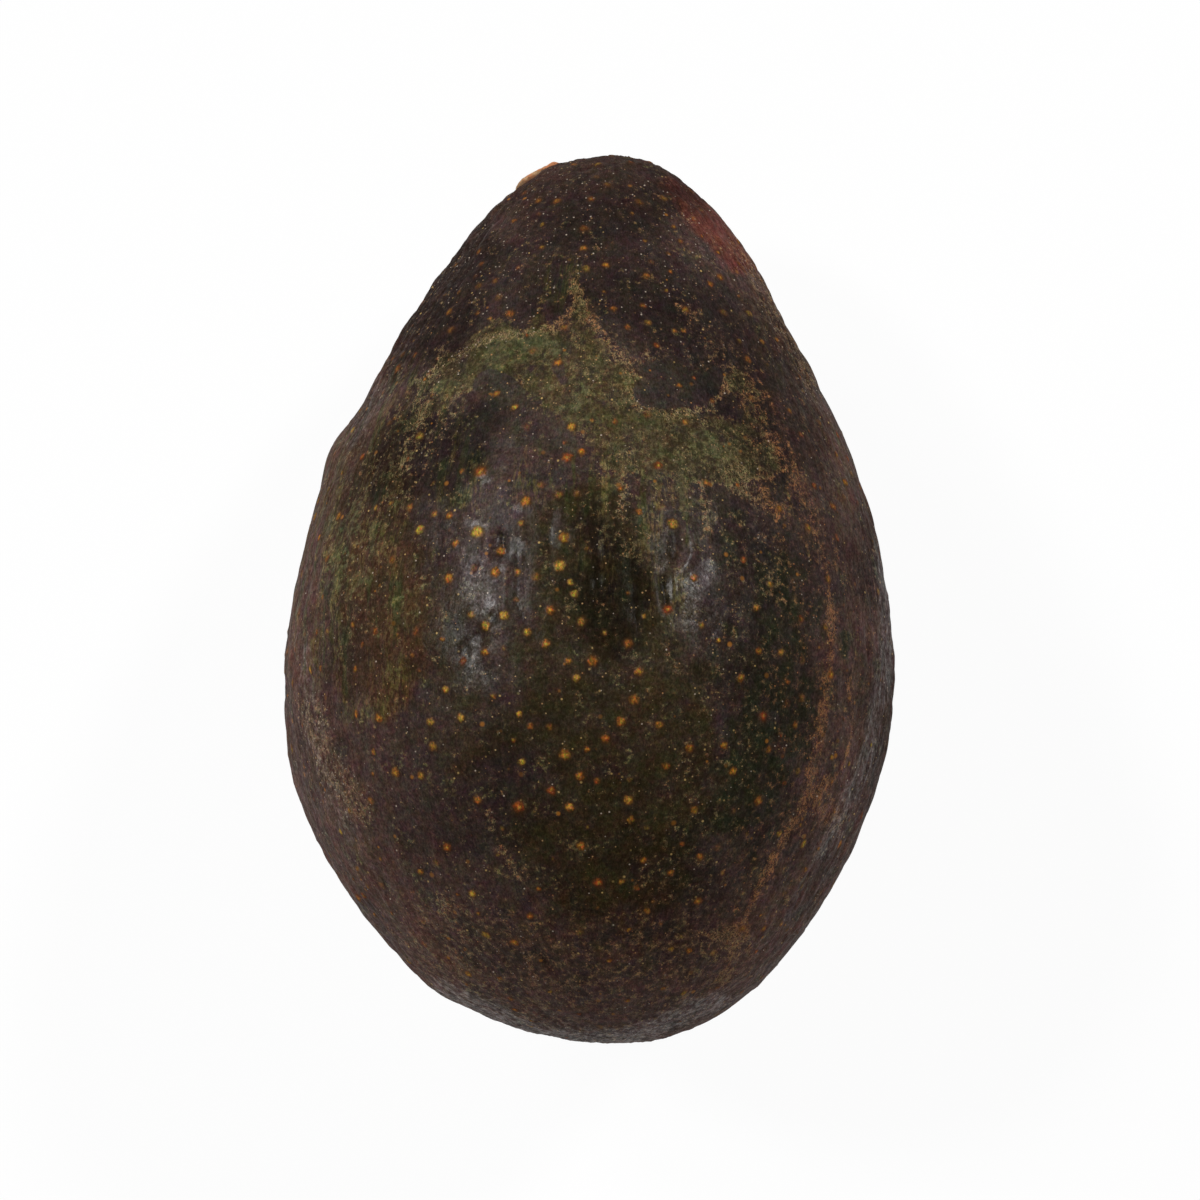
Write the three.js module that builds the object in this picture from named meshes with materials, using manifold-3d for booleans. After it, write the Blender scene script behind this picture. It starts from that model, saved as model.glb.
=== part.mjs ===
// A whole avocado lying on its side, with the dried end of its stem still in the neck.
// Millimetres, +Z up. The stem end points along +Y and the blossom end along -Y.
// It rests on a small flattened spot at z = 0, and its box is centred on x = 0 and y = 0.
import * as THREE from "three";
import { mergeVertices } from "three/addons/utils/BufferGeometryUtils.js";
import Module from "manifold-3d";

const wasm = await Module();
wasm.setup();

// ---- Driving dimensions ----

const halfLength = 50.4; // half the fruit's length along its own axis
const thicknessRatio = 0.95; // thickness over width
const neckDip = THREE.MathUtils.degToRad(9); // how far the lighter neck end sinks when the fruit lies down
const flatDepth = 0.6; // how much the resting spot is flattened
const skinSteps = 24; // grid steps along each of the six faces of the fruit's mesh

// Half-width over half-length, and the axis's sideways drift in mm. Each is a polynomial in t,
// where t runs from -1 at the blossom end to 1 at the stem end.
const girth = [0.663, -0.16, -0.129, 0.05, 0.089];
const drift = [0, 0.82, -1.14, -0.66, 3.12];

// Low swells and hollows of the skin. along is t, around is the angle about the fruit's axis in
// degrees (0 right, 90 up, 180 left, 270 down), height is in mm and reach is an angle in radians.
const swells = [
  { along: 0.35, around: 180, height: 0.9, reach: 0.16 },
  { along: 0.52, around: 180, height: -1.7, reach: 0.13 },
  { along: 0.8, around: 180, height: -0.2, reach: 0.16 },
  { along: -0.14, around: 180, height: 0.3, reach: 0.14 },
  { along: 0.0, around: 180, height: -0.2, reach: 0.12 },
  { along: -0.42, around: 180, height: 0.35, reach: 0.16 },
  { along: -0.87, around: 180, height: 0.2, reach: 0.16 },
  { along: 0.8, around: 0, height: 0.3, reach: 0.16 },
  { along: 0.36, around: 0, height: 0.6, reach: 0.14 },
  { along: -0.06, around: 0, height: -0.2, reach: 0.14 },
  { along: -0.35, around: 0, height: 0.15, reach: 0.14 },
  { along: -0.53, around: 0, height: 0.3, reach: 0.14 },
  { along: 0.42, around: 105, height: -0.6, reach: 0.22 },
  { along: -0.25, around: 65, height: 0.5, reach: 0.26 },
  { along: -0.45, around: 120, height: 0.4, reach: 0.24 },
  { along: 0.45, around: 250, height: -0.7, reach: 0.22 },
  { along: 0.1, around: 310, height: 0.5, reach: 0.26 },
  { along: -0.5, around: 225, height: 0.5, reach: 0.24 },
];

const stemLean = THREE.MathUtils.degToRad(18.5); // stem button's place, off the fruit's axis
const stemTurn = THREE.MathUtils.degToRad(209); // and about it, from the right
const stemSegments = 40;
const stemLobes = [
  { count: 2, depth: 0.045, phase: 0.6 },
  { count: 5, depth: 0.03, phase: 0 },
];
const rimWave = { count: 3, height: 0.12, phase: 1 };
const socketGap = 0.35; // clearance between the stem button and its socket
const socketReach = 3; // how far the socket's cutter stands out of the skin

// Stem button: [radius, height above the skin], from the tip of its root to the scar on its face.
const buttonProfile = [
  [0, -2.4],
  [1.6, -2.25],
  [2.5, -1.5],
  [2.95, -0.6],
  [3.45, -0.1],
  [3.7, 0.3],
  [3.5, 0.6],
  [3.0, 0.6],
  [2.4, 0.25],
  [1.8, 0.15],
  [1.2, 0.35],
  [0.6, 0.5],
  [0, 0.45],
];

const rimRadius = Math.max(...buttonProfile.map(([radius]) => radius));

// ---- Shapes ----

const polynomial = (terms, t) => terms.reduceRight((sum, term) => sum * t + term, 0);

// Direction at t along the fruit's axis and an angle about it.
function directionAt(t, angle) {
  const ring = Math.sqrt(1 - t * t);
  return new THREE.Vector3(ring * Math.cos(angle), t, ring * Math.sin(angle));
}

const swellCentres = swells.map(({ along, around, height, reach }) => ({
  centre: directionAt(along, THREE.MathUtils.degToRad(around)),
  height,
  reach,
}));

// Point of the skin in a direction: a pear-shaped oval, raised or sunk by
// the sum of height * exp(-2 (1 - cos angle) / reach^2) over the swells.
function skinPoint(direction) {
  const t = direction.y;
  const radius = halfLength * polynomial(girth, t);
  const rise = swellCentres.reduce((sum, { centre, height, reach }) => {
    return sum + height * Math.exp((-2 * (1 - direction.dot(centre))) / reach ** 2);
  }, 0);
  const outward = new THREE.Vector3(direction.x, direction.y * girth[0], direction.z).normalize();
  return new THREE.Vector3(
    polynomial(drift, t) + radius * direction.x,
    halfLength * t,
    thicknessRatio * radius * direction.z,
  ).addScaledVector(outward, rise);
}

// Unit normal of the skin, from the points on either side of a direction.
function skinNormal(direction) {
  const step = 0.01;
  const across = new THREE.Vector3(0, 0, 1).cross(direction).normalize();
  const along = direction.clone().cross(across);
  const slope = (tangent) => {
    const ahead = skinPoint(direction.clone().addScaledVector(tangent, step).normalize());
    const behind = skinPoint(direction.clone().addScaledVector(tangent, -step).normalize());
    return ahead.sub(behind);
  };
  return slope(across).cross(slope(along)).normalize();
}

// Leaves only merged positions, so that the mesh is closed.
function closedMesh(geometry) {
  geometry.deleteAttribute("normal");
  geometry.deleteAttribute("uv");
  return mergeVertices(geometry);
}

function eachVertex(geometry, move) {
  const position = geometry.attributes.position;
  for (let i = 0; i < position.count; i++) {
    const point = move(new THREE.Vector3().fromBufferAttribute(position, i));
    position.setXYZ(i, point.x, point.y, point.z);
  }
  return geometry;
}

// A cube's grid, evened out and blown up into the fruit's skin.
function fruitGeometry() {
  const cube = closedMesh(new THREE.BoxGeometry(2, 2, 2, skinSteps, skinSteps, skinSteps));
  const evened = (value) => Math.tan((Math.PI / 4) * value);
  return eachVertex(cube, (point) => {
    const direction = new THREE.Vector3(evened(point.x), evened(point.y), evened(point.z)).normalize();
    return skinPoint(direction);
  });
}

// A profile turned about +Y, made slightly lobed and uneven as a broken stem is.
function stemGeometry(profile) {
  const points = profile.map(([radius, height]) => new THREE.Vector2(radius, height));
  return eachVertex(closedMesh(new THREE.LatheGeometry(points, stemSegments)), (point) => {
    const angle = Math.atan2(point.z, point.x);
    const outwardness = Math.hypot(point.x, point.z) / rimRadius;
    const lobes = stemLobes.reduce((sum, { count, depth, phase }) => {
      return sum + depth * Math.sin(count * angle + phase);
    }, 1);
    const lift = rimWave.height * Math.sin(rimWave.count * angle + rimWave.phase) * outwardness ** 2;
    return new THREE.Vector3(point.x * lobes, point.y + lift, point.z * lobes);
  });
}

// The space that the stem button sits in: its profile up to the rim grown by the gap, open at the skin.
function socketProfile() {
  const rimIndex = buttonProfile.findIndex(([radius]) => radius === rimRadius);
  const walls = buttonProfile.slice(1, rimIndex + 1).map(([radius, height]) => {
    return [radius + socketGap, height - socketGap];
  });
  const [, deepest] = buttonProfile[0];
  return [
    [0, deepest - socketGap],
    ...walls,
    [rimRadius + socketGap, socketReach],
    [0, socketReach],
  ];
}

// ---- Joining and cutting ----

function toSolid(geometry) {
  const vertProperties = new Float32Array(geometry.attributes.position.array);
  const triVerts = new Uint32Array(geometry.index.array);
  return new wasm.Manifold(new wasm.Mesh({ numProp: 3, vertProperties, triVerts }));
}

function toGeometry(solid) {
  const { vertProperties, triVerts } = solid.getMesh();
  const geometry = new THREE.BufferGeometry();
  geometry.setAttribute("position", new THREE.BufferAttribute(vertProperties, 3));
  geometry.setIndex(new THREE.BufferAttribute(triVerts, 1));
  return geometry;
}

// ---- Placing ----

// Turns the fruit from its own axis to the way it lies, neck slightly down.
const lyingDown = new THREE.Matrix4().makeRotationX(-neckDip);

const stemDirection = new THREE.Vector3(
  Math.sin(stemLean) * Math.cos(stemTurn),
  Math.cos(stemLean),
  Math.sin(stemLean) * Math.sin(stemTurn),
);
const stemUpright = new THREE.Quaternion().setFromUnitVectors(
  new THREE.Vector3(0, 1, 0),
  skinNormal(stemDirection),
);
const stemPlace = new THREE.Matrix4()
  .compose(skinPoint(stemDirection), stemUpright, new THREE.Vector3(1, 1, 1))
  .premultiply(lyingDown);

const wholeSkin = fruitGeometry().applyMatrix4(lyingDown);
wholeSkin.computeBoundingBox();
const lowest = wholeSkin.boundingBox.min.z;
const middle = wholeSkin.boundingBox.getCenter(new THREE.Vector3());
const floorHeight = lowest + flatDepth;

// A slab below the height of the surface that the fruit lies on.
const slabSize = 4 * halfLength;
const belowFloor = closedMesh(new THREE.BoxGeometry(slabSize, slabSize, slabSize));
belowFloor.translate(0, 0, floorHeight - slabSize / 2);
const socket = stemGeometry(socketProfile()).applyMatrix4(stemPlace);
const fruitSolid = toSolid(wholeSkin).subtract(toSolid(belowFloor)).subtract(toSolid(socket));

const fruit = new THREE.Mesh(
  toGeometry(fruitSolid),
  new THREE.MeshStandardMaterial({ color: 0x2e2422, roughness: 0.45, metalness: 0 }),
);
fruit.name = "fruit";

const stemButton = new THREE.Mesh(
  stemGeometry(buttonProfile).applyMatrix4(stemPlace),
  new THREE.MeshStandardMaterial({ color: 0x9c774b, roughness: 0.85, metalness: 0 }),
);
stemButton.name = "stem_button";

const avocado = new THREE.Group();
avocado.add(fruit, stemButton);
avocado.position.set(-middle.x, -middle.y, -floorHeight);

export default avocado;
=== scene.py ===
import itertools
import math

import bpy
import numpy as np
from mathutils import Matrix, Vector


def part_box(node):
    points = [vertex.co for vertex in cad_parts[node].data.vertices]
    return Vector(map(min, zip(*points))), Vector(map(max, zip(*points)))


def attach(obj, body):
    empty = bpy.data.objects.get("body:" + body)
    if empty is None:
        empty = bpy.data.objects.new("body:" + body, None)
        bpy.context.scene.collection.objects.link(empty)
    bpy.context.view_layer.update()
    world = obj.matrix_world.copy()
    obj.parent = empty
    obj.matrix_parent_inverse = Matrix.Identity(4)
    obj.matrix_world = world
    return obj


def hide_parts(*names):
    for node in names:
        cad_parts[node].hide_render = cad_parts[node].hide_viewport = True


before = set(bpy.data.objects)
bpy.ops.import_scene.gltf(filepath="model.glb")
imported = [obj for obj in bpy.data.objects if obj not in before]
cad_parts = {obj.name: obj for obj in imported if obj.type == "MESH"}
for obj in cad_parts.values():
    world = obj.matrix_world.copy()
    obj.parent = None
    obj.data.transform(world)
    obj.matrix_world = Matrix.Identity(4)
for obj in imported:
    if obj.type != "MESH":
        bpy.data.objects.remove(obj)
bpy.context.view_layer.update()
millimetre = 0.001
print("frame loaded:", ", ".join(sorted(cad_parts)))

cameraLook = {
    "height": 0.7,  # m above the surface that the fruit lies on
    "lens": 178.8,  # mm, a long lens, so the outline is hardly foreshortened
    "aside": 0.00118,  # m from the fruit's middle to the right
    "back": 0.00043,  # m from the fruit's middle towards the blossom end
}


def makeCamera(look):
    # straight above the fruit, looking down, with the stem end at the top of the picture
    data = bpy.data.cameras.new("copy_camera")
    data.lens = look["lens"]
    data.clip_end = 10
    camera = bpy.data.objects.new("copy_camera", data)
    camera.location = (look["aside"], -look["back"], look["height"])
    bpy.context.scene.collection.objects.link(camera)
    bpy.context.scene.camera = camera


makeCamera(cameraLook)


def scrambled(cells, seed):
    # three numbers from 0 to 1 for each whole-number cell: the fraction of a large sine of its place
    spread = np.array([[127.1, 269.5, 419.2], [311.7, 183.3, 371.9], [74.7, 246.1, 124.6]])
    return np.modf(np.abs(np.sin(cells @ spread + seed)) * 43758.5453)[0]


def softNoise(points, seed):
    # from -1 to 1: the values at a cell's eight corners, blended by 3t^2 - 2t^3
    cell = np.floor(points)
    part = points - cell
    part = part * part * (3 - 2 * part)
    total = np.zeros(len(points))
    for corner in itertools.product((0, 1), repeat=3):
        weight = np.prod(np.where(corner, part, 1 - part), axis=1)
        total += weight * scrambled(cell + corner, seed)[:, 0]
    return 2 * total - 1


def layeredNoise(points, seed, layers):
    # soft noise summed over layers, each twice as fine and half as strong as the last
    total = sum(softNoise(points * 2 ** layer, seed + layer) / 2 ** layer for layer in range(layers))
    return total / (2 - 2 ** (1 - layers))


def cellGaps(points, seed):
    # distance to the nearest and to the second nearest of one scattered point per cell
    cell = np.floor(points)
    nearest = np.full(len(points), 9.0)
    second = np.full(len(points), 9.0)
    for step in itertools.product((-1, 0, 1), repeat=3):
        heart = cell + step + scrambled(cell + step, seed)
        gap = np.linalg.norm(heart - points, axis=1)
        second = np.minimum(second, np.maximum(nearest, gap))
        nearest = np.minimum(nearest, gap)
    return nearest, second


def eased(value, low, high):
    # 0 below low, 1 above high, and 3t^2 - 2t^3 between them
    t = np.clip((value - low) / (high - low), 0, 1)
    return t * t * (3 - 2 * t)


fruitShape = {
    "gridSteps": 128,  # steps along each of the six faces of the grid
    "halfLength": 50.4,  # mm, along the fruit's own axis
    "thickness": 0.95,  # thickness over width
    "neckDip": math.radians(9),  # how far the neck end sinks as the fruit lies
    "flatDepth": 0.6,  # mm taken up by the resting spot
    "girth": (0.663, -0.16, -0.129, 0.05, 0.089),  # half-width over half-length, in powers of t
    "drift": (0, 0.82, -1.14, -0.66, 3.12),  # mm the axis wanders sideways, in powers of t
    "swells": (  # t, degrees about the axis, mm high, radians wide
        (0.35, 180, 0.9, 0.16), (0.52, 180, -1.7, 0.13), (0.8, 180, -0.2, 0.16),
        (-0.14, 180, 0.3, 0.14), (0.0, 180, -0.2, 0.12), (-0.42, 180, 0.35, 0.16),
        (-0.87, 180, 0.2, 0.16), (0.8, 0, 0.3, 0.16), (0.36, 0, 0.6, 0.14),
        (-0.06, 0, -0.2, 0.14), (-0.35, 0, 0.15, 0.14), (-0.53, 0, 0.3, 0.14),
        (0.42, 105, -0.6, 0.22), (-0.25, 65, 0.5, 0.26), (-0.45, 120, 0.4, 0.24),
        (0.45, 250, -0.7, 0.22), (0.1, 310, 0.5, 0.26), (-0.5, 225, 0.5, 0.24),
    ),
    "flowScale": (30, 50),  # mm round and along, for patterns that follow it
    "flowPole": 0.2,  # how far from an end the pattern draws together
    "upperFrom": 20,  # mm above the table, where the listed marks begin
    "upperFull": 31,  # and where they alone are seen
    "stemLean": math.radians(18.5),  # the stem's place, off the fruit's axis
    "stemTurn": math.radians(209),  # and about it, from the right
}


def polynomial(terms, t):
    return sum(term * t ** power for power, term in enumerate(terms))


def directionAt(t, angle):
    ring = math.sqrt(1 - t * t)
    return np.array([ring * math.cos(angle), t, ring * math.sin(angle)])


def bareSkin(directions, shape):
    # pear-shaped oval: (drift(t) + r x, half t, thickness r z) with r = half girth(t), plus
    # height exp(-2 (1 - cos angle) / reach^2) along the outward direction for each swell
    t = directions[:, 1]
    radius = shape["halfLength"] * polynomial(shape["girth"], t)
    outward = directions * (1, shape["girth"][0], 1)
    outward /= np.linalg.norm(outward, axis=1, keepdims=True)
    rise = np.zeros(len(directions))
    for along, around, height, reach in shape["swells"]:
        centre = directionAt(along, math.radians(around))
        rise += height * np.exp(-2 * (1 - directions @ centre) / reach ** 2)
    points = np.stack([
        polynomial(shape["drift"], t) + radius * directions[:, 0],
        shape["halfLength"] * t,
        shape["thickness"] * radius * directions[:, 2],
    ], axis=1)
    return points + rise[:, None] * outward, outward


def laidDown(points, shape):
    # turned about X, so that +Y dips by the neck's angle
    c, s = math.cos(shape["neckDip"]), math.sin(shape["neckDip"])
    x, y, z = points.T
    return np.stack([x, y * c + z * s, z * c - y * s], axis=1)


def ballGrid(steps):
    # a cube's grid evened out by the tangent and pushed out to length one. Returns directions,
    # quads, and each quad corner's place on a flat layout of the six faces, three by two
    a, b = np.meshgrid(np.arange(steps + 1), np.arange(steps + 1), indexing="ij")
    index = np.arange((steps + 1) ** 2).reshape(steps + 1, steps + 1)
    corners = [index[:-1, :-1], index[1:, :-1], index[1:, 1:], index[:-1, 1:]]
    quad = np.stack(corners, axis=-1).reshape(-1, 4)
    margin = 0.006
    lattices, quads, charts = [], [], []
    for number, (axis, side) in enumerate(itertools.product((0, 1, 2), (0, 1))):
        lattice = np.empty(a.shape + (3,), int)
        lattice[..., axis] = side * steps
        lattice[..., (axis + 1) % 3] = a
        lattice[..., (axis + 2) % 3] = b
        lattices.append(lattice.reshape(-1, 3))
        facing = quad if side else quad[:, ::-1]
        quads.append(facing + number * index.size)
        across, up = (b, a) if axis == 0 else (a, b)  # the fruit's length runs up each side face
        flat = np.stack([across, up], -1).reshape(-1, 2) / steps
        corner = np.array([number % 3, number // 3])
        flat = (corner + margin + (1 - 2 * margin) * flat) / (3, 2)
        charts.append(flat[facing])
    lattice, shared = np.unique(np.concatenate(lattices), axis=0, return_inverse=True)
    directions = np.tan((2 * lattice / steps - 1) * math.pi / 4)
    directions /= np.linalg.norm(directions, axis=1, keepdims=True)
    return directions, shared.ravel()[np.concatenate(quads)], np.concatenate(charts)


def flowPlaces(directions, shape):
    # mm round and along the fruit, so that a pattern drawn out along the second follows its length:
    # scale (x, z) / sqrt(ring^2 + pole^2) round it and scale asin t along it
    ring = np.hypot(directions[:, 0], directions[:, 2])
    roundScale, alongScale = shape["flowScale"]
    around = roundScale * directions[:, ::2] / np.hypot(ring, shape["flowPole"])[:, None]
    along = alongScale * np.arcsin(np.clip(directions[:, 1], -1, 1))
    return np.stack([around[:, 0], along, around[:, 1]], axis=1)


directions, skinQuads, skinCharts = ballGrid(fruitShape["gridSteps"])
smoothSkin, outward = bareSkin(directions, fruitShape)
flow = flowPlaces(directions, fruitShape)
print("fruit grid:", len(directions), "points")

# Where the bare fruit comes to lie. A point's place from here on is in mm from the middle of the
# resting surface, and "above" means seen from straight above.
laidSkin = laidDown(smoothSkin, fruitShape)
low, high = laidSkin.min(axis=0), laidSkin.max(axis=0)
middle = np.array([(low[0] + high[0]) / 2, (low[1] + high[1]) / 2, low[2] + fruitShape["flatDepth"]])
skinPlace = laidSkin - middle
fromAbove = skinPlace[:, :2]
upperSide = eased(skinPlace[:, 2], fruitShape["upperFrom"], fruitShape["upperFull"])


def gapTo(path, places):
    # distance from each place to a line through the path's points, less the line's own half-width
    # there, where a point gives one as its third number; seen from above
    gap = np.full(len(places), 99.0)
    for start, end in zip(path[:-1], path[1:]):
        start, end = np.array((*start, 0.0)[:3]), np.array((*end, 0.0)[:3])
        span = (end - start)[:2]
        t = np.clip((places - start[:2]) @ span / (span @ span), 0, 1)
        away = np.linalg.norm(places - start[:2] - t[:, None] * span, axis=1)
        gap = np.minimum(gap, away - start[2] - t * (end - start)[2])
    return gap
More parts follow.
